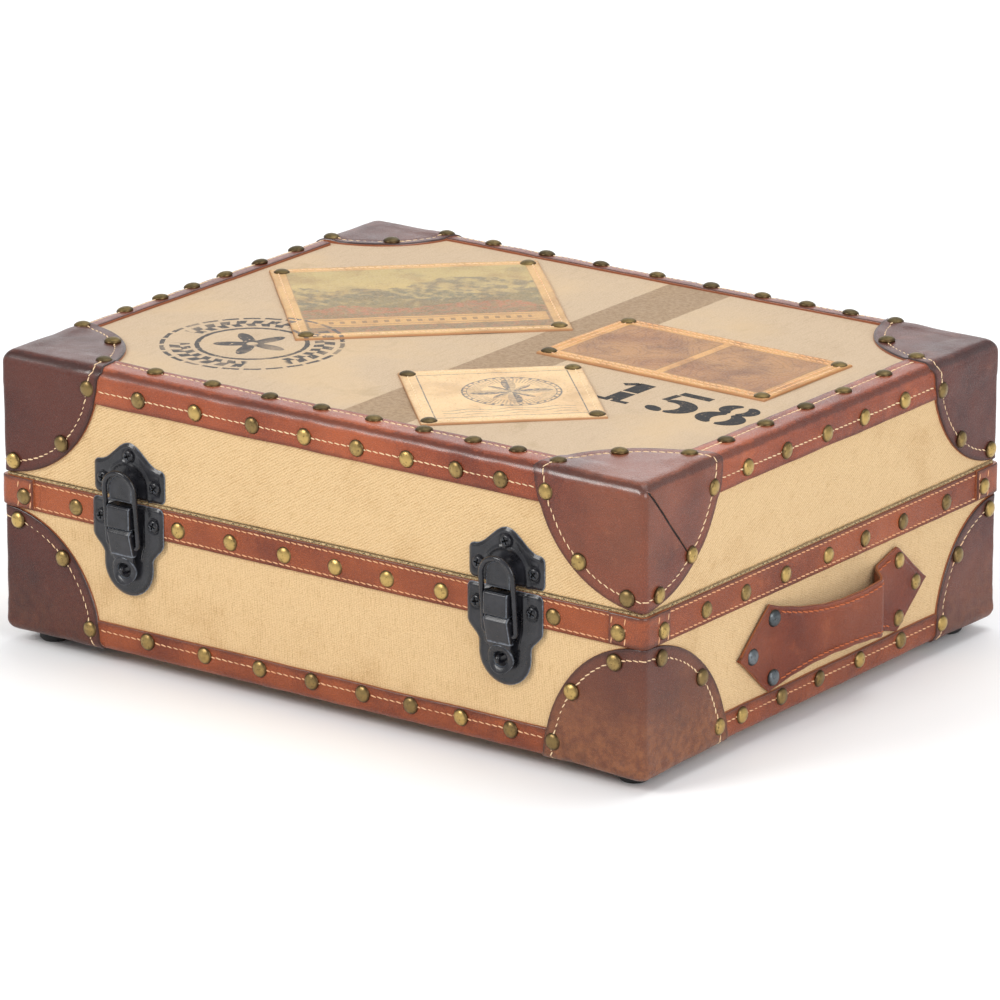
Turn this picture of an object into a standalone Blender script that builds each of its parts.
"""Storage trunk: a shallow two-part case of boards covered in canvas, bound in leather.

Metres, +Z up, +X to the right, the latched front faces -Y. The origin is the middle of the
object's footprint, on the surface that the feet stand on.
"""

import math

import bmesh
import bpy
import numpy as np

# Whole case, measured over the leather
CASE_WIDTH = 0.430
CASE_DEPTH = 0.340
BASE_HEIGHT = 0.090
LID_HEIGHT = 0.070
SPLIT_GAP = 0.0006
CORNER_RADIUS = 0.0035
TOP_EDGE_RADIUS = 0.007
BOTTOM_EDGE_RADIUS = 0.0055

# Layers of the wall, from the leather inwards
GAP = 0.0003
LEATHER = 0.0014
CANVAS = 0.0008
WALL_BOARD = 0.006
PANEL_BOARD = 0.004
LINING = 0.0006
LINING_MARGIN = 0.001

# Leather trim: how far each binding reaches down the side, and over the top or under the bottom
LID_BINDING = 0.020
LID_OVER_NEAR = 0.020
LID_OVER_FAR = 0.013
BASE_BINDING = 0.0165
BASE_UNDER = 0.0165
BAND_HEIGHT = 0.017
BAND_DROP = 0.002
PATCH_BELOW_BAND = 0.0015
PATCH_ABOVE_RIM = 0.0003
WRAP_REACH = 0.022
WRAP_LEATHER = 0.0012

# Feet
FOOT_RADIUS = 0.0085
FOOT_HEIGHT = 0.008
FOOT_INSET = 0.019
FOOT_ROUNDING = 0.0015

# Carrying handles
HANDLE_END_ROOM = 0.080
HANDLE_TOWARDS_BACK = 0.0065
HANDLE_THICKNESS = 0.003
HANDLE_BOW = 0.013
HANDLE_WAIST = 0.029
HANDLE_CLEAR_BELOW = 0.001
HANDLE_CLEAR_ABOVE = 0.0045
HANDLE_POINT = 0.028
HANDLE_POINT_WIDTH = 0.002
HANDLE_FOLD_SHARES = (0.45, 0.71)

# Draw latches: places are from the latch's middle, up from the split and out from the leather
LATCH_FROM_PATCH = 0.0197
LATCH_PROUD = 0.010
PLATE_THICKNESS = 0.0012
PLATE_WIDTH = 0.049
PLATE_ROUNDING = 0.0025
HOOK_PLATE_FOOT = 0.0008
HOOK_PLATE_SHOULDER = 0.020
HOOK_PLATE_TOP = 0.032
BASE_PLATE_HEAD = 0.0010
BASE_PLATE_SHOULDER = 0.0215
BASE_PLATE_WAIST = 0.033
BASE_PLATE_LOBE = 0.017
BASE_PLATE_BOTTOM = 0.0543
SCREW_RADIUS = 0.0035
SCREW_HEIGHT = 0.0012
SCREW_CROWN_SHARE = 0.6
SCREW_FROM_MIDDLE = 0.018
HOOK_SCREW_HEIGHT = 0.0095
TOP_SCREW_HEIGHT = 0.0246
BASE_SCREW_DROP = 0.0114
COLUMN_WIDTH = 0.0158
TONGUE_PROUD = 0.007
TONGUE_TOP = 0.0156
TONGUE_LIP = 0.0012
BRACKET_TOP = 0.0014
BRACKET_OVER_PIVOT = 0.003
BRACKET_WALL_STEP = 0.0007
EAR_WIDTH = 0.0012
PIVOT_DROP = 0.017
PIVOT_UNDER_FACE = 0.0028
PIVOT_RADIUS = 0.0008
RUNNING_CLEARANCE = 0.0001
LEVER_NOSE = 0.0023
LEVER_LIP_RADIUS = 0.0016
LEVER_CHEEK_LENGTH = 0.013
LEVER_LENGTH = 0.0218
LEVER_END_PROUD = 0.0046
LEVER_RING_RADIUS = 0.0072
LEVER_HOLE_RADIUS = 0.0048
STAPLE_HEIGHT = 0.005
STAPLE_WIDTH = 0.0024
STAPLE_OVER_RING = 0.0039
STAPLE_EYE_SHARE = 0.5
WIRE_RADIUS = 0.0011
LOOP_SIDE_CLEARANCE = 0.0013
LOOP_BELOW_PIVOT = 0.008
LOOP_UNDER_PIVOT = 0.0022
LOOP_OVER_TONGUE = 0.0016
LOOP_BEND = 0.0022

# Hinges
HINGE_FROM_PATCH = 0.0312
HINGE_WIDTH = 0.042
HINGE_LEAF_HEIGHT = 0.024
KNUCKLE_RADIUS = 0.0028
HINGE_PIN_RADIUS = 0.0013
HINGE_PIN_END = 0.0006

# Leather pictures on the lid: width and height are shares of the lid's span
PICTURE_THICKNESS = 0.0010
PICTURE_BINDING_ROOM = 0.006
SMALL_PICTURE_ROOM = 0.0035
PICTURE_GAP = 0.004
LID_PLAN_SHARE = 1.2647
LARGE_PICTURE_SHARES = (0.358, 0.330)
SMALL_PICTURE_SHARES = (0.2325, 0.227)
DOUBLE_PICTURE_SHARES = (0.3535, 0.193)
LARGE_PICTURE_TURN = math.radians(43.7)
SMALL_PICTURE_TURN = math.radians(44.1)
DOUBLE_PICTURE_TURN = math.radians(-1.1)
SMALL_PICTURE_PLACE_SHARE = 0.630
DOUBLE_PICTURE_PLACE_SHARE = 0.733

# Steps on round stretches, and how far a cutter overruns what it cuts
CORNER_STEPS = 3
EDGE_STEPS = 4
ROUND_SIDES = 24
PATCH_SIDES = 48
OVERRUN = 0.002

# Places that follow from the sizes above
BOTTOM_Z = FOOT_HEIGHT
SPLIT_Z = BOTTOM_Z + BASE_HEIGHT
LID_RIM_Z = SPLIT_Z + SPLIT_GAP
TOP_Z = SPLIT_Z + LID_HEIGHT
HINGE_AXIS_BACK = GAP + KNUCKLE_RADIUS
MIDDLE_Y = (LATCH_PROUD - HINGE_AXIS_BACK - KNUCKLE_RADIUS) / 2
FRONT_Y = MIDDLE_Y - CASE_DEPTH / 2
BACK_Y = MIDDLE_Y + CASE_DEPTH / 2
SIDE_X = CASE_WIDTH / 2
CANVAS_INSET = LEATHER + GAP
BOARD_INSET = CANVAS_INSET + CANVAS + GAP
LINING_INSET = BOARD_INSET + WALL_BOARD + GAP
BAND_TOP_Z = SPLIT_Z - BAND_DROP
BAND_BOTTOM_Z = BAND_TOP_Z - BAND_HEIGHT
BASE_PATCH_RADIUS = BAND_BOTTOM_Z - BOTTOM_Z - LEATHER / 2 - PATCH_BELOW_BAND
LID_PATCH_RADIUS = TOP_Z - LID_RIM_Z - LEATHER / 2 - PATCH_ABOVE_RIM
PATCH_REACH = max(BASE_PATCH_RADIUS, LID_PATCH_RADIUS)
LATCH_X = SIDE_X - PATCH_REACH - LATCH_FROM_PATCH
HINGE_X = SIDE_X - PATCH_REACH - HINGE_FROM_PATCH
PIVOT_PROUD = LATCH_PROUD - PIVOT_UNDER_FACE
EAR_RADIUS = PIVOT_UNDER_FACE - PLATE_THICKNESS - GAP
LOOP_PIVOT_DROP = PIVOT_DROP + LOOP_BELOW_PIVOT
LOOP_PIVOT_PROUD = PIVOT_PROUD - LOOP_UNDER_PIVOT
LEVER_TOP_DROP = PIVOT_DROP - LEVER_NOSE
LEVER_CHEEK_DROP = PIVOT_DROP + LEVER_CHEEK_LENGTH
LEVER_RING_DROP = PIVOT_DROP + LEVER_LENGTH
LEVER_SLOPE = (LATCH_PROUD - LEVER_END_PROUD) / LEVER_LENGTH
PICTURE_SPAN = min(CASE_WIDTH, CASE_DEPTH * LID_PLAN_SHARE)

for old in list(bpy.data.objects):
    bpy.data.objects.remove(old)


def finish(name, colour, roughness, metallic):
    """A plain Principled material in the piece's own colour."""
    material = bpy.data.materials.new(name)
    material.use_nodes = True
    shader = material.node_tree.nodes["Principled BSDF"]
    shader.inputs["Base Color"].default_value = (*colour, 1)
    shader.inputs["Roughness"].default_value = roughness
    shader.inputs["Metallic"].default_value = metallic
    material.diffuse_color = (*colour, 1)
    return material


WOOD = finish("pine board", (0.55, 0.40, 0.24), 0.7, 0)
SIDE_CANVAS = finish("canvas", (0.72, 0.52, 0.29), 0.9, 0)
CLOTH = finish("lining cloth", (0.50, 0.42, 0.32), 0.95, 0)
STRAP_LEATHER = finish("strap leather", (0.30, 0.09, 0.04), 0.45, 0)
CORNER_LEATHER = finish("corner leather", (0.13, 0.05, 0.035), 0.4, 0)
HANDLE_LEATHER = finish("handle leather", (0.26, 0.08, 0.035), 0.5, 0)
PICTURE_LEATHER = finish("picture leather", (0.42, 0.26, 0.10), 0.6, 0)
BLACK_STEEL = finish("black enamelled steel", (0.02, 0.02, 0.024), 0.35, 0.6)
RUBBER = finish("black rubber", (0.02, 0.018, 0.017), 0.8, 0)


def solid(name, points, faces, material=None):
    """A closed mesh object, its faces turned outwards and its round stretches shaded smooth."""
    mesh = bpy.data.meshes.new(name)
    mesh.from_pydata([tuple(point) for point in points], [], faces)
    work = bmesh.new()
    work.from_mesh(mesh)
    bmesh.ops.recalc_face_normals(work, faces=work.faces)
    work.to_mesh(mesh)
    work.free()
    mesh.shade_smooth()
    mesh.set_sharp_from_angle(angle=math.radians(35))
    piece = bpy.data.objects.new(name, mesh)
    bpy.context.scene.collection.objects.link(piece)
    if material:
        mesh.materials.append(material)
    else:
        piece.hide_render = True
        piece.display_type = "WIRE"
    return piece


def block(name, low, high, material=None):
    """A box between two corners. Without a material it is a cutter."""
    corners = [(x, y, z) for x in (low[0], high[0]) for y in (low[1], high[1]) for z in (low[2], high[2])]
    faces = [(0, 1, 3, 2), (4, 6, 7, 5), (0, 4, 5, 1), (2, 3, 7, 6), (0, 2, 6, 4), (1, 5, 7, 3)]
    return solid(name, corners, faces, material)


def boolean(piece, operation, tool):
    """Adds an exact Boolean with a helper object."""
    modifier = piece.modifiers.new(f"{operation} {tool.name}", "BOOLEAN")
    modifier.operation = operation
    modifier.solver = "EXACT"
    modifier.object = tool


def loft(name, rings, material=None):
    """Skins rings of equal length in order, and closes the first and the last with a flat face."""
    count = len(rings[0])
    faces = [
        (i * count + j, (i + 1) * count + j, (i + 1) * count + (j + 1) % count, i * count + (j + 1) % count)
        for i in range(len(rings) - 1)
        for j in range(count)
    ]
    last = (len(rings) - 1) * count
    faces += [tuple(range(count)), tuple(range(last, last + count))]
    return solid(name, np.concatenate(rings), faces, material)


def arc(middle, radius, start, end, steps):
    """Points on a circle arc in a plane, from one angle to another, both included."""
    turn = np.linspace(start, end, steps + 1)
    return np.stack([middle[0] + radius * np.cos(turn), middle[1] + radius * np.sin(turn)], axis=1)


def rounded_rectangle(half_x, half_y, radius, z):
    """One ring of a case wall, seen from above, about the middle of the case."""
    inner_x, inner_y = half_x - radius, half_y - radius
    quarters = [
        arc((right * inner_x, up * inner_y), radius, start, start + math.pi / 2, CORNER_STEPS)
        for right, up, start in ((1, 1, 0), (-1, 1, math.pi / 2), (-1, -1, math.pi), (1, -1, 1.5 * math.pi))
    ]
    flat = np.concatenate(quarters)
    return np.column_stack([flat[:, 0], flat[:, 1] + MIDDLE_Y, np.full(len(flat), z)])


def case_rings(inset, rim_z, face_z, edge_radius):
    """Rings of a box of the case's plan, from its open rim over a round edge to its closed face."""
    half_x = SIDE_X - inset
    half_y = CASE_DEPTH / 2 - inset
    corner = CORNER_RADIUS - min(inset, CORNER_RADIUS * 0.8)
    edge = edge_radius - min(inset, edge_radius * 0.9)
    side = 1 if face_z > rim_z else -1
    rings = [rounded_rectangle(half_x, half_y, corner, rim_z)]
    for turn in np.linspace(0, math.pi / 2, EDGE_STEPS + 1):
        step_in = edge * (1 - math.cos(turn))
        z = face_z - side * (inset + edge * (1 - math.sin(turn)))
        rings.append(rounded_rectangle(half_x - step_in, half_y - step_in, corner, z))
    return rings


def tray(name, inset, thickness, rim_z, face_z, edge_radius, material):
    """An open shell of one layer: outer rings to the closed face, then inner rings back to the rim."""
    outer = case_rings(inset, rim_z, face_z, edge_radius)
    inner = case_rings(inset + thickness, rim_z, face_z, edge_radius)
    count = len(outer[0])
    turns = len(outer)
    points = np.concatenate(outer + inner)
    faces = [tuple(range((turns - 1) * count, turns * count))]
    faces.append(tuple(range((2 * turns - 1) * count, 2 * turns * count)))
    for shell in (0, turns):
        for i in range(shell, shell + turns - 1):
            for j in range(count):
                k = (j + 1) % count
                faces.append((i * count + j, (i + 1) * count + j, (i + 1) * count + k, i * count + k))
    for j in range(count):
        k = (j + 1) % count
        faces.append((j, k, turns * count + k, turns * count + j))
    return solid(name, points, faces, material)


def ball(name, middle, radius):
    """A cutter ball whose poles lie along X, so that no pole falls on a flat of the case."""
    rings = []
    for turn in np.linspace(0, math.pi, PATCH_SIDES // 2 + 1)[1:-1]:
        ring = arc((middle[1], middle[2]), radius * math.sin(turn), 0, 2 * math.pi, PATCH_SIDES)[:-1]
        x = np.full(len(ring), middle[0] + radius * math.cos(turn))
        rings.append(np.column_stack([x, ring]))
    count = len(rings[0])
    poles = np.array([[middle[0] + side * radius, middle[1], middle[2]] for side in (1, -1)])
    points = np.concatenate(rings + [poles])
    faces = []
    for i in range(len(rings) - 1):
        for j in range(count):
            k = (j + 1) % count
            faces.append((i * count + j, i * count + k, (i + 1) * count + k, (i + 1) * count + j))
    first = len(rings) * count
    last = (len(rings) - 1) * count
    for j in range(count):
        k = (j + 1) % count
        faces.append((first, j, k))
        faces.append((first + 1, last + k, last + j))
    return solid(name, points, faces)


def rod(name, middle, radius, length, material=None, sides=ROUND_SIDES, axis="x"):
    """A round bar along X, Y or Z about its middle."""
    ring = arc((0, 0), radius, 0, 2 * math.pi, sides)[:-1]
    rings = []
    for end in (-length / 2, length / 2):
        along = np.full(len(ring), end)
        order = {"x": (along, ring[:, 0], ring[:, 1]), "y": (ring[:, 0], along, ring[:, 1])}
        order["z"] = (ring[:, 0], ring[:, 1], along)
        rings.append(np.column_stack(order[axis]) + np.array(middle))
    return loft(name, rings, material)


def hang(pieces, empty):
    """Parents pieces drawn in place to an empty on their joint's axis."""
    for piece in pieces:
        piece.parent = empty
        piece.location = piece.location - empty.location


def axis_empty(name, place):
    """An empty on a joint's axis."""
    empty = bpy.data.objects.new(name, None)
    empty.location = place
    bpy.context.scene.collection.objects.link(empty)
    return empty


def boards(part, rim_z, face_z, edge_radius):
    """Four wall boards butted at the corners, and a panel let in between them."""
    envelope = loft(f"{part} board envelope", case_rings(BOARD_INSET, rim_z, face_z, edge_radius))
    left = -SIDE_X + BOARD_INSET
    front = FRONT_Y + BOARD_INSET
    back = BACK_Y - BOARD_INSET
    low_z = min(rim_z, face_z) - OVERRUN
    high_z = max(rim_z, face_z) + OVERRUN
    side = 1 if face_z > rim_z else -1
    outer_face = face_z - side * BOARD_INSET
    inner_face = outer_face - side * PANEL_BOARD
    between = (front + WALL_BOARD + GAP, back - WALL_BOARD - GAP)
    walls = {
        "front": ((left - OVERRUN, front - OVERRUN, low_z), (-left + OVERRUN, front + WALL_BOARD, high_z)),
        "back": ((left - OVERRUN, back - WALL_BOARD, low_z), (-left + OVERRUN, back + OVERRUN, high_z)),
        "left": ((left - OVERRUN, between[0], low_z), (left + WALL_BOARD, between[1], high_z)),
        "right": ((-left - WALL_BOARD, between[0], low_z), (-left + OVERRUN, between[1], high_z)),
    }
    made = []
    for name, (low, high) in walls.items():
        board = block(f"{part}_{name}_board", low, high, WOOD)
        boolean(board, "INTERSECT", envelope)
        made.append(board)
    panel_side = left + WALL_BOARD + GAP
    low = (panel_side, between[0], min(outer_face, inner_face))
    high = (-panel_side, between[1], max(outer_face, inner_face))
    made.append(block(f"{part}_{'top' if side > 0 else 'bottom'}_board", low, high, WOOD))
    return made


def leather_trim(part, rim_z, face_z, edge_radius, flap, near, far, patch_radius):
    """Leather bindings folded over the four long edges, and a rounded leather patch over each corner.

    The front and right bindings reach over the face by the near width, the others by the far width.
    """
    side = 1 if face_z > rim_z else -1
    fold_z = face_z - side * flap
    low_z = min(fold_z, face_z + side * OVERRUN)
    high_z = max(fold_z, face_z + side * OVERRUN)
    balls = {}
    made = []
    for corner, sx, y in (
        ("front_left", -1, FRONT_Y),
        ("front_right", 1, FRONT_Y),
        ("back_left", -1, BACK_Y),
        ("back_right", 1, BACK_Y),
    ):
        inward = 1 if y == FRONT_Y else -1
        middle = (sx * (SIDE_X - LEATHER / 2), y + inward * LEATHER / 2, face_z - side * LEATHER / 2)
        patch = tray(f"{part}_corner_{corner}", 0, LEATHER, rim_z, face_z, edge_radius, CORNER_LEATHER)
        boolean(patch, "INTERSECT", ball(f"{part} {corner} patch outline", middle, patch_radius))
        balls[corner] = ball(f"{part} {corner} binding end", middle, patch_radius + GAP)
        made.append(patch)
    strips = {
        "front": ((-SIDE_X - OVERRUN, FRONT_Y - OVERRUN), (SIDE_X + OVERRUN, FRONT_Y + near)),
        "back": ((-SIDE_X - OVERRUN, BACK_Y - far), (SIDE_X + OVERRUN, BACK_Y + OVERRUN)),
        "left": ((-SIDE_X - OVERRUN, FRONT_Y - OVERRUN), (-SIDE_X + far, BACK_Y + OVERRUN)),
        "right": ((SIDE_X - near, FRONT_Y - OVERRUN), (SIDE_X + OVERRUN, BACK_Y + OVERRUN)),
    }
    for name, (low, high) in strips.items():
        binding = tray(f"{part}_binding_{name}", 0, LEATHER, rim_z, face_z, edge_radius, STRAP_LEATHER)
        boolean(binding, "INTERSECT", block(f"{part} {name} edge", (*low, low_z), (*high, high_z)))
        for corner, cutter in balls.items():
            if name in corner:
                boolean(binding, "DIFFERENCE", cutter)
        made.append(binding)
    return made


def rim_leather():
    """The band round the base's rim, and a short second piece wrapped over it at each corner."""
    def wall(name, proud, thickness, material):
        outer = -proud
        inner = outer + thickness
        rings = [
            rounded_rectangle(SIDE_X - inset, CASE_DEPTH / 2 - inset, CORNER_RADIUS - inset, z)
            for inset, z in (
                (outer, BAND_BOTTOM_Z),
                (outer, BAND_TOP_Z),
                (inner, BAND_TOP_Z),
                (inner, BAND_BOTTOM_Z),
            )
        ]
        count = len(rings[0])
        faces = [
            (
                i * count + j,
                (i + 1) % 4 * count + j,
                (i + 1) % 4 * count + (j + 1) % count,
                i * count + (j + 1) % count,
            )
            for i in range(4)
            for j in range(count)
        ]
        return solid(name, np.concatenate(rings), faces, material)

    made = [wall("rim_band", 0, LEATHER, STRAP_LEATHER)]
    for corner, sx, y in (
        ("front_left", -1, FRONT_Y),
        ("front_right", 1, FRONT_Y),
        ("back_left", -1, BACK_Y),
        ("back_right", 1, BACK_Y),
    ):
        wrap = wall(f"rim_wrap_{corner}", GAP + WRAP_LEATHER, WRAP_LEATHER, CORNER_LEATHER)
        inward = 1 if y == FRONT_Y else -1
        xs = sorted((sx * (SIDE_X - WRAP_REACH), sx * (SIDE_X + WRAP_LEATHER + OVERRUN)))
        ys = sorted((y + inward * WRAP_REACH, y - inward * (WRAP_LEATHER + OVERRUN)))
        low = (xs[0], ys[0], BAND_BOTTOM_Z - OVERRUN)
        high = (xs[1], ys[1], BAND_TOP_Z + OVERRUN)
        boolean(wrap, "INTERSECT", block(f"{corner} wrap ends", low, high))
        made.append(wrap)
    return made


def feet():
    """Four round rubber feet under the corner patches."""
    made = []
    for corner, sx, y in (
        ("front_left", -1, FRONT_Y + FOOT_INSET),
        ("front_right", 1, FRONT_Y + FOOT_INSET),
        ("back_left", -1, BACK_Y - FOOT_INSET),
        ("back_right", 1, BACK_Y - FOOT_INSET),
    ):
        rings = [
            np.column_stack([arc((0, 0), radius, 0, 2 * math.pi, ROUND_SIDES)[:-1], np.full(ROUND_SIDES, z)])
            for radius, z in (
                (FOOT_RADIUS - FOOT_ROUNDING, 0),
                (FOOT_RADIUS, FOOT_ROUNDING),
                (FOOT_RADIUS, FOOT_HEIGHT - GAP),
            )
        ]
        foot = loft(f"foot_{corner}", rings, RUBBER)
        foot.location = (sx * (SIDE_X - FOOT_INSET), y, 0)
        made.append(foot)
    return made


def handle(name, side):
    """A strap with pointed ends nailed to the case, bowed out between them and folded back near the rear.

    Along the strap the middle of its thickness follows a quarter sine up to the bow and a raised
    cosine down again. Its half width follows a power of the distance from the strap's middle.
    """
    half = CASE_DEPTH / 2 - HANDLE_END_ROOM
    shoulder = half - HANDLE_POINT
    fold_start, fold_end = (share * shoulder for share in HANDLE_FOLD_SHARES)
    low_z = BOTTOM_Z + BASE_BINDING + HANDLE_CLEAR_BELOW
    high_z = BAND_BOTTOM_Z - HANDLE_CLEAR_ABOVE
    half_end = (high_z - low_z) / 2
    seat = HANDLE_THICKNESS / 2 + GAP - CANVAS_INSET
    top = HANDLE_BOW - HANDLE_THICKNESS / 2
    rise = np.linspace(-shoulder, fold_start, 11)
    fall = np.linspace(fold_start, fold_end, 7)[1:]
    along = np.concatenate([[-half], rise, fall, [shoulder, half]])
    rise_share = np.clip((along + shoulder) / (fold_start + shoulder), 0, 1)
    fall_share = np.clip((along - fold_start) / (fold_end - fold_start), 0, 1)
    bow = np.sin(rise_share * math.pi / 2) * (1 + np.cos(fall_share * math.pi)) / 2
    proud = seat + (top - seat) * bow
    spread = np.minimum(np.abs(along) / shoulder, 1) ** 2.2
    half_width = HANDLE_WAIST / 2 + (half_end - HANDLE_WAIST / 2) * spread
    half_width[[0, -1]] = HANDLE_POINT_WIDTH / 2
    slope = np.gradient(proud, along)
    length = np.sqrt(1 + slope**2)
    lift = HANDLE_THICKNESS / 2
    rings = []
    for i, place in enumerate(along):
        outer = (place - slope[i] / length[i] * lift, proud[i] + lift / length[i])
        inner = (place + slope[i] / length[i] * lift, proud[i] - lift / length[i])
        ring = [(*outer, -1), (*outer, 1), (*inner, 1), (*inner, -1)]
        rings.append(
            np.array([(side * (SIDE_X + u), y, z * half_width[i]) for y, u, z in ring])
        )
    strap = loft(name, rings, HANDLE_LEATHER)
    strap.location = (0, MIDDLE_Y + HANDLE_TOWARDS_BACK, (low_z + high_z) / 2)
    return strap


def hinge(side_name, x):
    """A butt hinge across the split at the back: two leaves with interlocking knuckles and a pin."""
    knuckle = HINGE_WIDTH / 3
    pin_hole = HINGE_PIN_RADIUS + RUNNING_CLEARANCE
    reach = KNUCKLE_RADIUS + GAP
    made = {}
    for part, side, seat, spans in (
        ("base", -1, GAP, (-1, 1)),
        ("lid", 1, GAP - CANVAS_INSET, (0,)),
    ):
        near = sorted((side * reach, side * HINGE_LEAF_HEIGHT))
        leaf = block(
            f"hinge_{part}_leaf_{side_name}",
            (-HINGE_WIDTH / 2, seat, near[0]),
            (HINGE_WIDTH / 2, seat + PLATE_THICKNESS, near[1]),
            BLACK_STEEL,
        )
        for span in spans:
            low_x = span * knuckle - knuckle / 2 + (GAP if span == 0 or span == 1 else 0)
            high_x = span * knuckle + knuckle / 2 - (GAP if span == 0 or span == -1 else 0)
            tab_z = sorted((0, side * (reach + PLATE_THICKNESS)))
            tab = block(
                f"hinge {side_name} {part} tab {span}",
                (low_x + GAP, seat + GAP, tab_z[0]),
                (high_x - GAP, HINGE_AXIS_BACK, tab_z[1]),
            )
            barrel = rod(
                f"hinge {side_name} {part} barrel {span}",
                ((low_x + high_x) / 2, HINGE_AXIS_BACK, 0),
                KNUCKLE_RADIUS,
                high_x - low_x,
                sides=16,
            )
            for helper in (tab, barrel):
                boolean(leaf, "UNION", helper)
        bore = rod(
            f"hinge {side_name} {part} bore",
            (0, HINGE_AXIS_BACK, 0),
            pin_hole,
            HINGE_WIDTH + OVERRUN,
            sides=16,
        )
        boolean(leaf, "DIFFERENCE", bore)
        helpers = [modifier.object for modifier in leaf.modifiers]
        for piece in [leaf, *helpers]:
            piece.location = (x, BACK_Y, SPLIT_Z)
        made[part] = leaf
    pin = rod(
        f"hinge_pin_{side_name}",
        (0, 0, 0),
        HINGE_PIN_RADIUS,
        HINGE_WIDTH + 2 * HINGE_PIN_END,
        BLACK_STEEL,
        sides=16,
    )
    pin.location = (x, BACK_Y + HINGE_AXIS_BACK, SPLIT_Z)
    return made["base"], made["lid"], pin


def extrude_x(name, outline, half_width, material=None, middle=0):
    """A side profile of (proud, height) points, drawn out along X. Proud is towards the front."""
    rings = [
        np.array([(middle + x, -proud, z) for proud, z in outline])
        for x in (-half_width, half_width)
    ]
    return loft(name, rings, material)


def extrude_y(name, outline, low_proud, high_proud, material=None):
    """A front outline of (x, height) points, drawn out towards the front."""
    rings = [np.array([(x, -proud, z) for x, z in outline]) for proud in (low_proud, high_proud)]
    return loft(name, rings, material)


def mirrored(right):
    """The outline's right half, from the top round to the bottom, and its mirror image."""
    right = np.array(right)
    left = right[::-1] * np.array([-1, 1])
    keep = np.abs(left[:, 0]) > GAP / 10
    return np.concatenate([right, left[keep]])


def screw_heads(plate, seat, places):
    """Pan heads of the screws that hold a plate, worked with the plate as one solid."""
    for number, (x, z) in enumerate(places):
        loops = []
        for radius, proud in (
            (SCREW_RADIUS, seat),
            (SCREW_RADIUS, seat + SCREW_HEIGHT / 2),
            (SCREW_RADIUS * SCREW_CROWN_SHARE, seat + SCREW_HEIGHT),
        ):
            loop = arc((x, z), radius, 0, 2 * math.pi, 12)[:-1]
            loops.append(np.column_stack([loop[:, 0], np.full(len(loop), -proud), loop[:, 1]]))
        boolean(plate, "UNION", loft(f"{plate.name} screw {number}", loops))


def hook_plate(side_name):
    """The lid's plate: square shoulders, a bell-shaped head, and a tongue with a lip to take the loop."""
    seat = GAP - CANVAS_INSET
    face = seat + PLATE_THICKNESS
    half = PLATE_WIDTH / 2
    inner = half - PLATE_ROUNDING
    bell = np.linspace(0, 1, 9)
    rise = HOOK_PLATE_TOP - HOOK_PLATE_SHOULDER
    heights = [HOOK_PLATE_SHOULDER + rise * (1 + math.cos(math.pi * share)) / 2 for share in bell]
    right = [(inner * share, height) for share, height in zip(bell, heights)]
    right += list(arc((inner, HOOK_PLATE_SHOULDER - PLATE_ROUNDING), PLATE_ROUNDING, math.pi / 2, 0, 3)[1:])
    right += list(arc((inner, HOOK_PLATE_FOOT + PLATE_ROUNDING), PLATE_ROUNDING, 0, -math.pi / 2, 3))
    plate = extrude_y(f"latch_hook_plate_{side_name}", mirrored(right), seat, face, BLACK_STEEL)
    half_tongue = COLUMN_WIDTH / 2
    for name, trim, low, high in (
        ("root", TONGUE_LIP, face - PLATE_THICKNESS / 2, TONGUE_PROUD - TONGUE_LIP / 2),
        ("cap", 0, TONGUE_PROUD - TONGUE_LIP, TONGUE_PROUD),
    ):
        radius = half_tongue - trim
        outline = list(arc((0, TONGUE_TOP - half_tongue), radius, 0, math.pi, 10))
        foot = HOOK_PLATE_FOOT if trim else 0
        outline += [(-radius, foot), (radius, foot)]
        boolean(plate, "UNION", extrude_y(f"hook {side_name} {name}", outline, low, high))
    screw_heads(
        plate,
        face - PLATE_THICKNESS / 2,
        [
            (0, TOP_SCREW_HEIGHT),
            (-SCREW_FROM_MIDDLE, HOOK_SCREW_HEIGHT),
            (SCREW_FROM_MIDDLE, HOOK_SCREW_HEIGHT),
        ],
    )
    return plate


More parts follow.
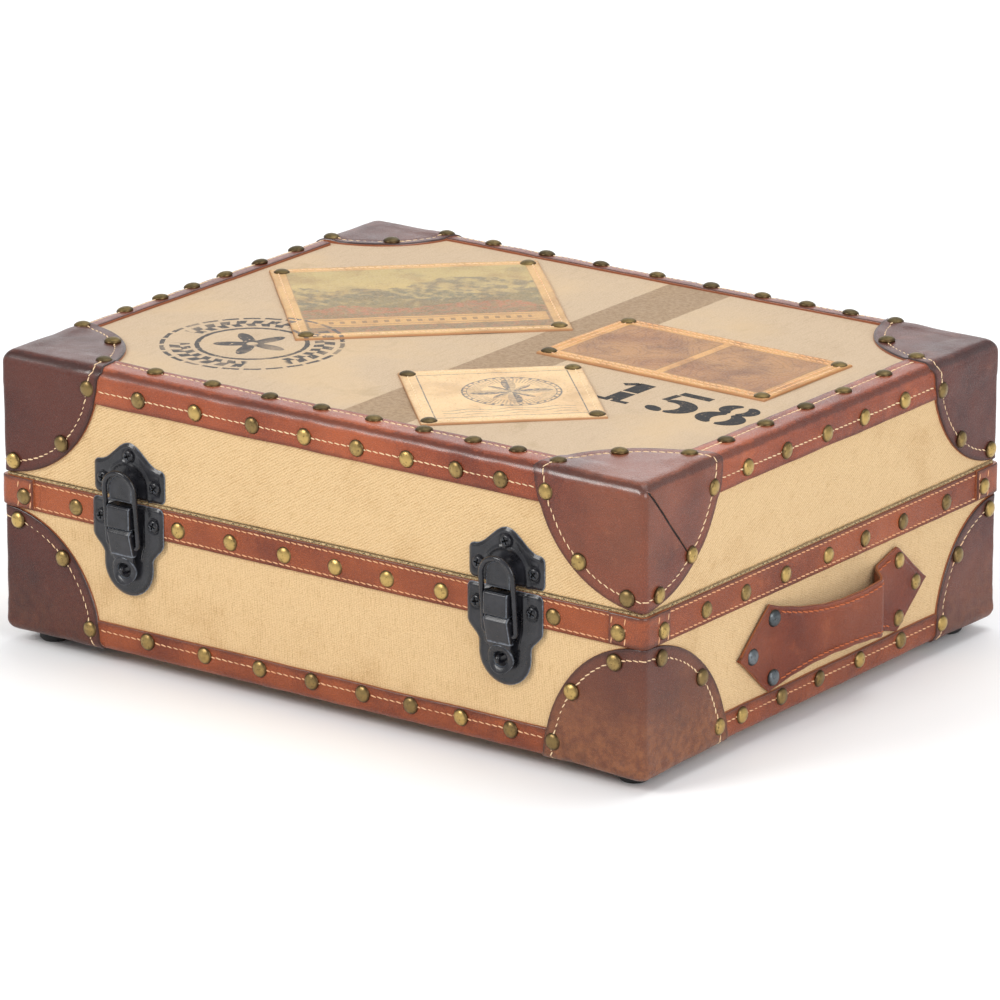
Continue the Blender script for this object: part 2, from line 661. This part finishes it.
def base_plate(side_name):
    """The base's plate: shoulders drawn in to a round lobe, the lever's bracket and a padlock staple."""
    seat = GAP
    face = seat + PLATE_THICKNESS
    half = PLATE_WIDTH / 2
    inner = half - PLATE_ROUNDING
    right = list(arc((inner, -BASE_PLATE_HEAD - PLATE_ROUNDING), PLATE_ROUNDING, math.pi / 2, 0, 3))
    for share in np.linspace(0, 1, 7):
        x = BASE_PLATE_LOBE + (half - BASE_PLATE_LOBE) * (1 + math.cos(math.pi * share)) / 2
        right.append((x, -BASE_PLATE_SHOULDER - (BASE_PLATE_WAIST - BASE_PLATE_SHOULDER) * share))
    lobe_z = -BASE_PLATE_BOTTOM + BASE_PLATE_LOBE
    right += list(arc((0, lobe_z), BASE_PLATE_LOBE, 0, -math.pi / 2, 8))
    plate = extrude_y(f"latch_base_plate_{side_name}", mirrored(right), seat, face, BLACK_STEEL)
    root = face - PLATE_THICKNESS / 2
    bracket_bottom = PIVOT_DROP - BRACKET_OVER_PIVOT
    cover = [
        (root, -BRACKET_TOP),
        (LATCH_PROUD - LEVER_LIP_RADIUS, -BRACKET_TOP),
        (LATCH_PROUD, -BRACKET_TOP - LEVER_LIP_RADIUS),
        (LATCH_PROUD, -bracket_bottom),
        (LATCH_PROUD - PLATE_THICKNESS, -bracket_bottom),
        (LATCH_PROUD - PLATE_THICKNESS, -BRACKET_TOP - PLATE_THICKNESS),
        (root, -BRACKET_TOP - PLATE_THICKNESS),
    ]
    boolean(plate, "UNION", extrude_x(f"bracket {side_name} cover", cover, COLUMN_WIDTH / 2))
    ear_middle = COLUMN_WIDTH / 2 - PLATE_THICKNESS - GAP - EAR_WIDTH / 2
    for side in (-1, 1):
        wall = [
            (root, -BRACKET_TOP - PLATE_THICKNESS / 2),
            (LATCH_PROUD - PLATE_THICKNESS / 2, -BRACKET_TOP - PLATE_THICKNESS / 2),
            (LATCH_PROUD - PLATE_THICKNESS / 2, -bracket_bottom + BRACKET_WALL_STEP),
            (root, -bracket_bottom + BRACKET_WALL_STEP),
        ]
        wall = extrude_x(f"bracket {side_name} wall {side}", wall, EAR_WIDTH / 2, middle=side * ear_middle)
        boolean(plate, "UNION", wall)
        round_end = arc((PIVOT_PROUD, -PIVOT_DROP), EAR_RADIUS, -math.pi / 4, math.pi, 8)
        ear = [*round_end, (root, -PIVOT_DROP - EAR_RADIUS), (root, -PIVOT_DROP - 5 * EAR_RADIUS)]
        ear = extrude_x(f"bracket {side_name} ear {side}", ear, EAR_WIDTH / 2, middle=side * ear_middle)
        boolean(plate, "UNION", ear)
    bore = rod(
        f"bracket {side_name} bore",
        (0, -PIVOT_PROUD, -PIVOT_DROP),
        PIVOT_RADIUS + RUNNING_CLEARANCE,
        COLUMN_WIDTH,
        sides=12,
    )
    boolean(plate, "DIFFERENCE", bore)
    staple_round = LEVER_END_PROUD + STAPLE_OVER_RING - STAPLE_HEIGHT / 2
    staple = [
        (root, -LEVER_RING_DROP - STAPLE_HEIGHT / 2),
        *arc((staple_round, -LEVER_RING_DROP), STAPLE_HEIGHT / 2, -math.pi / 2, math.pi / 2, 8),
        (root, -LEVER_RING_DROP + STAPLE_HEIGHT / 2),
    ]
    boolean(plate, "UNION", extrude_x(f"staple {side_name}", staple, STAPLE_WIDTH / 2))
    eye = rod(
        f"staple {side_name} eye",
        (0, -staple_round, -LEVER_RING_DROP),
        STAPLE_HEIGHT / 2 * STAPLE_EYE_SHARE,
        STAPLE_WIDTH + OVERRUN,
        sides=10,
    )
    boolean(plate, "DIFFERENCE", eye)
    places = [(-SCREW_FROM_MIDDLE, -BASE_SCREW_DROP), (SCREW_FROM_MIDDLE, -BASE_SCREW_DROP)]
    screw_heads(plate, root, places)
    return plate


def lever(side_name):
    """The throw lever: a folded channel with a rolled top lip, ending in a flat ring for the staple."""
    face_end = LATCH_PROUD - LEVER_SLOPE * LEVER_CHEEK_LENGTH
    lip_middle = (LATCH_PROUD - LEVER_LIP_RADIUS, -LEVER_TOP_DROP - LEVER_LIP_RADIUS)
    lip = arc(lip_middle, LEVER_LIP_RADIUS, math.pi / 2, 0, 5)
    cheek_back = LOOP_PIVOT_PROUD - 2 * WIRE_RADIUS
    pivot_back = PIVOT_PROUD - LEVER_NOSE
    outline = [
        *lip,
        (LATCH_PROUD, -PIVOT_DROP),
        (face_end, -LEVER_CHEEK_DROP),
        (cheek_back, -LEVER_CHEEK_DROP + LEVER_LIP_RADIUS),
        (cheek_back, -LOOP_PIVOT_DROP + 2 * WIRE_RADIUS),
        (pivot_back, -PIVOT_DROP),
        (pivot_back + LEVER_LIP_RADIUS, -LEVER_TOP_DROP - LEVER_LIP_RADIUS / 2),
    ]
    piece = extrude_x(f"latch_lever_{side_name}", outline, COLUMN_WIDTH / 2, BLACK_STEEL)
    channel = [
        (LATCH_PROUD - PLATE_THICKNESS, -LEVER_TOP_DROP + OVERRUN),
        (LATCH_PROUD - PLATE_THICKNESS, -PIVOT_DROP),
        (face_end - PLATE_THICKNESS, -LEVER_CHEEK_DROP),
        (face_end - PLATE_THICKNESS - LEVER_SLOPE * OVERRUN, -LEVER_CHEEK_DROP - OVERRUN),
        (GAP, -LEVER_CHEEK_DROP - OVERRUN),
        (GAP, -LEVER_TOP_DROP + OVERRUN),
    ]
    inside = COLUMN_WIDTH / 2 - PLATE_THICKNESS
    boolean(piece, "DIFFERENCE", extrude_x(f"lever {side_name} channel", channel, inside))
    tilt = math.atan(LEVER_SLOPE)
    ring_face = LEVER_END_PROUD
    neck = [
        (face_end + LEVER_SLOPE * OVERRUN, -LEVER_CHEEK_DROP + OVERRUN),
        (ring_face, -LEVER_RING_DROP),
        (ring_face - PLATE_THICKNESS, -LEVER_RING_DROP),
        (face_end + LEVER_SLOPE * OVERRUN - PLATE_THICKNESS, -LEVER_CHEEK_DROP + OVERRUN),
    ]
    boolean(piece, "UNION", extrude_x(f"lever {side_name} neck", neck, LEVER_RING_RADIUS * 0.92))
    middle = (0, -ring_face + PLATE_THICKNESS / 2, -LEVER_RING_DROP)
    for name, operation, radius, thickness in (
        ("ring", "UNION", LEVER_RING_RADIUS, PLATE_THICKNESS),
        ("hole", "DIFFERENCE", LEVER_HOLE_RADIUS, PLATE_THICKNESS + 2 * OVERRUN),
    ):
        disc = rod(f"lever {side_name} {name}", (0, 0, 0), radius, thickness, axis="y")
        disc.rotation_euler = (tilt, 0, 0)
        disc.location = middle
        boolean(piece, operation, disc)
    for name, proud, drop, radius in (
        ("pivot bore", PIVOT_PROUD, PIVOT_DROP, PIVOT_RADIUS),
        ("loop bore", LOOP_PIVOT_PROUD, LOOP_PIVOT_DROP, WIRE_RADIUS),
    ):
        bore = rod(
            f"lever {side_name} {name}",
            (0, -proud, -drop),
            radius + RUNNING_CLEARANCE,
            COLUMN_WIDTH + OVERRUN,
            sides=12,
        )
        boolean(piece, "DIFFERENCE", bore)
    return piece


def wire_loop(side_name):
    """One bent wire: two legs, a round head clear of the hook's lip, ends turned into the lever's cheeks."""
    head_radius = COLUMN_WIDTH / 2 + LOOP_SIDE_CLEARANCE + WIRE_RADIUS
    rise = TONGUE_TOP + LOOP_OVER_TONGUE + LOOP_PIVOT_DROP
    lean = TONGUE_PROUD + GAP + WIRE_RADIUS - LOOP_PIVOT_PROUD
    end = COLUMN_WIDTH / 2 - PLATE_THICKNESS - GAP
    flat = [(end, 0)]
    flat += list(arc((head_radius - LOOP_BEND, LOOP_BEND), LOOP_BEND, -math.pi / 2, 0, 3))
    flat += list(arc((0, rise - head_radius), head_radius, 0, math.pi / 2, 6))
    flat += [(-x, z) for x, z in reversed(flat[:-1])]
    curve = bpy.data.curves.new(f"latch_loop_{side_name}", "CURVE")
    curve.dimensions = "3D"
    curve.bevel_depth = WIRE_RADIUS
    curve.bevel_resolution = 1
    curve.use_fill_caps = True
    line = curve.splines.new("POLY")
    line.points.add(len(flat) - 1)
    lean_top = lean / (rise - WIRE_RADIUS)
    for point, (x, z) in zip(line.points, flat):
        point.co = (x, -z * lean_top, z, 1)
    curve.materials.append(BLACK_STEEL)
    loop = bpy.data.objects.new(f"latch_loop_{side_name}", curve)
    bpy.context.scene.collection.objects.link(loop)
    return loop


def latch(side_name, x):
    """One draw latch: both plates, the lever on its pin, and the loop on the lever."""
    place = (x, FRONT_Y, SPLIT_Z)
    hook = hook_plate(side_name)
    plate = base_plate(side_name)
    arm = lever(side_name)
    for piece in (hook, plate, arm):
        helpers = {modifier.object for modifier in piece.modifiers}
        for one in [piece, *helpers]:
            one.location = (one.location[0] + x, one.location[1] + FRONT_Y, one.location[2] + SPLIT_Z)
    pin = rod(
        f"latch_pin_{side_name}",
        (0, 0, 0),
        PIVOT_RADIUS,
        COLUMN_WIDTH + 2 * WIRE_RADIUS,
        BLACK_STEEL,
        sides=12,
    )
    pin.location = (x, FRONT_Y - PIVOT_PROUD, SPLIT_Z - PIVOT_DROP)
    loop = wire_loop(side_name)
    loop.location = (x, FRONT_Y - LOOP_PIVOT_PROUD, SPLIT_Z - LOOP_PIVOT_DROP)
    lever_axis = axis_empty(f"lever axis {side_name}", (x, place[1] - PIVOT_PROUD, place[2] - PIVOT_DROP))
    loop_axis = axis_empty(f"loop axis {side_name}", loop.location)
    hang([arm, loop_axis], lever_axis)
    loop.parent = loop_axis
    loop.location = (0, 0, 0)
    return hook


def half_reach(shares, turn):
    """How far a turned picture reaches from its middle, along X and along Y."""
    width, height = (share * PICTURE_SPAN for share in shares)
    cosine, sine = abs(math.cos(turn)), abs(math.sin(turn))
    return (width * cosine + height * sine) / 2, (width * sine + height * cosine) / 2


def picture(name, shares, turn, x, y):
    """A thin rectangle of printed leather laid on the lid's canvas, its middle at x and y."""
    width, height = (share * PICTURE_SPAN for share in shares)
    high = (width / 2, height / 2, PICTURE_THICKNESS)
    piece = block(name, (-width / 2, -height / 2, 0), high, PICTURE_LEATHER)
    piece.location = (x, y, TOP_Z - CANVAS_INSET + GAP)
    piece.rotation_euler = (0, 0, turn)
    return piece


def pictures():
    """The large one lies at the back left, the small one at the front, the double one behind that."""
    large_x, large_y = half_reach(LARGE_PICTURE_SHARES, LARGE_PICTURE_TURN)
    small_y = half_reach(SMALL_PICTURE_SHARES, SMALL_PICTURE_TURN)[1]
    double_y = half_reach(DOUBLE_PICTURE_SHARES, DOUBLE_PICTURE_TURN)[1]
    small_middle = FRONT_Y + LID_OVER_NEAR + SMALL_PICTURE_ROOM + small_y
    return [
        picture(
            "lid_picture_large",
            LARGE_PICTURE_SHARES,
            LARGE_PICTURE_TURN,
            -SIDE_X + LID_OVER_FAR + PICTURE_BINDING_ROOM + large_x,
            BACK_Y - LID_OVER_FAR - PICTURE_BINDING_ROOM - large_y,
        ),
        picture(
            "lid_picture_small",
            SMALL_PICTURE_SHARES,
            SMALL_PICTURE_TURN,
            -SIDE_X + SMALL_PICTURE_PLACE_SHARE * CASE_WIDTH,
            small_middle,
        ),
        picture(
            "lid_picture_double",
            DOUBLE_PICTURE_SHARES,
            DOUBLE_PICTURE_TURN,
            -SIDE_X + DOUBLE_PICTURE_PLACE_SHARE * CASE_WIDTH,
            small_middle + small_y + PICTURE_GAP + double_y,
        ),
    ]


lid_pieces = boards("lid", LID_RIM_Z, TOP_Z, TOP_EDGE_RADIUS)
boards("base", SPLIT_Z, BOTTOM_Z, BOTTOM_EDGE_RADIUS)

lid_pieces.append(tray("lid_canvas", CANVAS_INSET, CANVAS, LID_RIM_Z, TOP_Z, TOP_EDGE_RADIUS, SIDE_CANVAS))
tray("base_canvas", CANVAS_INSET, CANVAS, SPLIT_Z, BOTTOM_Z, BOTTOM_EDGE_RADIUS, SIDE_CANVAS)

panel_step = WALL_BOARD - PANEL_BOARD
lid_lining_z = TOP_Z + panel_step
base_lining_z = BOTTOM_Z - panel_step
lid_pieces.append(
    tray("lid_lining", LINING_INSET, LINING, LID_RIM_Z + LINING_MARGIN, lid_lining_z, TOP_EDGE_RADIUS, CLOTH)
)
tray("base_lining", LINING_INSET, LINING, SPLIT_Z - LINING_MARGIN, base_lining_z, BOTTOM_EDGE_RADIUS, CLOTH)

lid_pieces += leather_trim(
    "lid", LID_RIM_Z, TOP_Z, TOP_EDGE_RADIUS, LID_BINDING, LID_OVER_NEAR, LID_OVER_FAR, LID_PATCH_RADIUS
)
leather_trim(
    "base", SPLIT_Z, BOTTOM_Z, BOTTOM_EDGE_RADIUS, BASE_BINDING, BASE_UNDER, BASE_UNDER, BASE_PATCH_RADIUS
)
rim_leather()
feet()

lid_pieces += pictures()

handle("handle_left", -1)
handle("handle_right", 1)

for side_name, side in (("left", -1), ("right", 1)):
    base_leaf, lid_leaf, hinge_pin = hinge(side_name, side * HINGE_X)
    lid_pieces.append(lid_leaf)
    lid_pieces.append(latch(side_name, side * LATCH_X))

lid_axis = axis_empty("lid axis", (0, BACK_Y + HINGE_AXIS_BACK, SPLIT_Z))
hang(lid_pieces, lid_axis)
